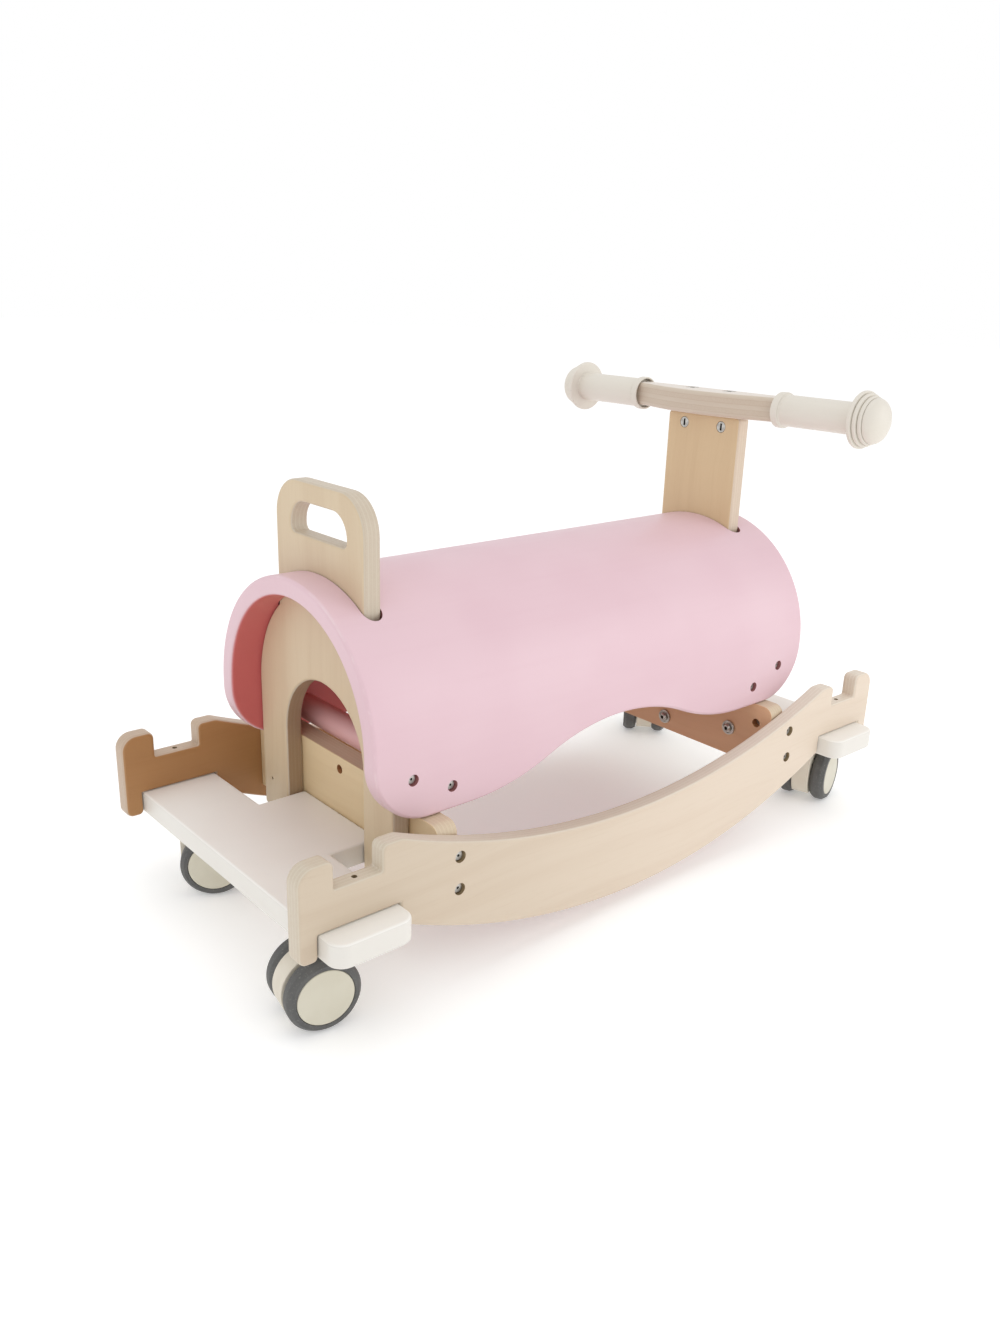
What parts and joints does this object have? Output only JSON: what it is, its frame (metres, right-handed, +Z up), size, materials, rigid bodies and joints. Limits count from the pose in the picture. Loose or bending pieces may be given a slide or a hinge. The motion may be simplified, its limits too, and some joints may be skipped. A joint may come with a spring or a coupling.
{
  "type": "wooden rocker",
  "caption": "Child's wooden ride-on rocker: bent-ply tunnel seat with handled backrest and handlebar on curved rails, with twin-wheel castors.",
  "frame": {"origin": "on the floor, below the middle of the seat: the bottom centre of the box round the whole object", "axes": "+X towards the handlebar (front), +Y to the rider's left, +Z up"},
  "size_m": [0.6553, 0.371, 0.4155],
  "materials": {
    "pink_ply": "birch ply bent to a tunnel, sprayed satin pink inside and out",
    "birch_ply": "clear satin lacquer over birch ply, layers showing on the edges",
    "white_board": "warm white satin paint on board, edges rounded",
    "cream_wood": "cream satin paint on turned wood",
    "castor_plastic": "moulded cream plastic, smooth",
    "tyre": "soft dark grey rubber, non-marking",
    "steel": "zinc plated steel"
  },
  "bodies": {
    "root": {"seat_shell": "pink_ply", "backrest_panel": "birch_ply", "handlebar_post": "birch_ply", "cross_board_rear": "birch_ply", "cross_board_front": "birch_ply", "rail_left": "birch_ply", "rail_right": "birch_ply", "castor_board_rear": "white_board", "castor_board_front": "white_board", "spreader_rod_rear": "pink_ply", "spreader_rod_front": "pink_ply", "handlebar": "birch_ply", "grip_left": "cream_wood", "grip_right": "cream_wood", "leg_bolt_rear_left": "steel", "leg_bolt_rear_right": "steel", "tongue_bolt_rear": "steel", "leg_bolt_front_left": "steel", "leg_bolt_front_right": "steel", "tongue_bolt_front": "steel", "bar_bolt_left": "steel", "bar_nut_left": "steel", "rail_bolt_rear_left_upper": "steel", "rail_bolt_rear_left_lower": "steel", "rail_bolt_front_left_upper": "steel", "rail_bolt_front_left_lower": "steel", "bar_bolt_right": "steel", "bar_nut_right": "steel", "rail_bolt_rear_right_upper": "steel", "rail_bolt_rear_right_lower": "steel", "rail_bolt_front_right_upper": "steel", "rail_bolt_front_right_lower": "steel", "castor_rear_right_plate": "steel", "castor_rear_left_plate": "steel", "castor_front_right_plate": "steel", "castor_front_left_plate": "steel"},
    "swivel_rear_right": {"castor_rear_right_housing": "castor_plastic", "castor_rear_right_axle": "steel"},
    "wheel_rear_right_a": {"castor_rear_right_hub_a": "castor_plastic", "castor_rear_right_tyre_a": "tyre"},
    "wheel_rear_right_b": {"castor_rear_right_hub_b": "castor_plastic", "castor_rear_right_tyre_b": "tyre"},
    "swivel_rear_left": {"castor_rear_left_housing": "castor_plastic", "castor_rear_left_axle": "steel"},
    "wheel_rear_left_a": {"castor_rear_left_hub_a": "castor_plastic", "castor_rear_left_tyre_a": "tyre"},
    "wheel_rear_left_b": {"castor_rear_left_hub_b": "castor_plastic", "castor_rear_left_tyre_b": "tyre"},
    "swivel_front_right": {"castor_front_right_housing": "castor_plastic", "castor_front_right_axle": "steel"},
    "wheel_front_right_a": {"castor_front_right_hub_a": "castor_plastic", "castor_front_right_tyre_a": "tyre"},
    "wheel_front_right_b": {"castor_front_right_hub_b": "castor_plastic", "castor_front_right_tyre_b": "tyre"},
    "swivel_front_left": {"castor_front_left_housing": "castor_plastic", "castor_front_left_axle": "steel"},
    "wheel_front_left_a": {"castor_front_left_hub_a": "castor_plastic", "castor_front_left_tyre_a": "tyre"},
    "wheel_front_left_b": {"castor_front_left_hub_b": "castor_plastic", "castor_front_left_tyre_b": "tyre"}
  },
  "joints": [
    {"name": "swivel_rear_right", "type": "hinge", "parent": "root", "child": "swivel_rear_right", "pos_m": [-0.28, -0.1085, 0.064], "axis": [0, 0, 1], "continuous": true},
    {"name": "roll_rear_right_a", "type": "hinge", "parent": "swivel_rear_right", "child": "wheel_rear_right_a", "pos_m": [-0.29912, -0.12188, 0.0275], "axis": [-0.1736, -0.9848, 0], "continuous": true},
    {"name": "roll_rear_right_b", "type": "hinge", "parent": "swivel_rear_right", "child": "wheel_rear_right_b", "pos_m": [-0.29338, -0.08939, 0.0275], "axis": [-0.1736, -0.9848, 0], "continuous": true},
    {"name": "swivel_rear_left", "type": "hinge", "parent": "root", "child": "swivel_rear_left", "pos_m": [-0.28, 0.1085, 0.064], "axis": [0, 0, 1], "continuous": true},
    {"name": "roll_rear_left_a", "type": "hinge", "parent": "swivel_rear_left", "child": "wheel_rear_left_a", "pos_m": [-0.25763, 0.11513, 0.0275], "axis": [0.4772, 0.8788, 0], "continuous": true},
    {"name": "roll_rear_left_b", "type": "hinge", "parent": "swivel_rear_left", "child": "wheel_rear_left_b", "pos_m": [-0.27337, 0.08613, 0.0275], "axis": [0.4772, 0.8788, 0], "continuous": true},
    {"name": "swivel_front_right", "type": "hinge", "parent": "root", "child": "swivel_front_right", "pos_m": [0.28, -0.1085, 0.064], "axis": [0, 0, 1], "continuous": true},
    {"name": "roll_front_right_a", "type": "hinge", "parent": "swivel_front_right", "child": "wheel_front_right_a", "pos_m": [0.29113, -0.08799, 0.0275], "axis": [-0.284, 0.9588, 0], "continuous": true},
    {"name": "roll_front_right_b", "type": "hinge", "parent": "swivel_front_right", "child": "wheel_front_right_b", "pos_m": [0.30051, -0.11963, 0.0275], "axis": [-0.284, 0.9588, 0], "continuous": true},
    {"name": "swivel_front_left", "type": "hinge", "parent": "root", "child": "swivel_front_left", "pos_m": [0.28, 0.1085, 0.064], "axis": [0, 0, 1], "continuous": true},
    {"name": "roll_front_left_a", "type": "hinge", "parent": "swivel_front_left", "child": "wheel_front_left_a", "pos_m": [0.28122, 0.1318, 0.0275], "axis": [-0.6691, 0.7431, 0], "continuous": true},
    {"name": "roll_front_left_b", "type": "hinge", "parent": "swivel_front_left", "child": "wheel_front_left_b", "pos_m": [0.3033, 0.10728, 0.0275], "axis": [-0.6691, 0.7431, 0], "continuous": true}
  ]
}
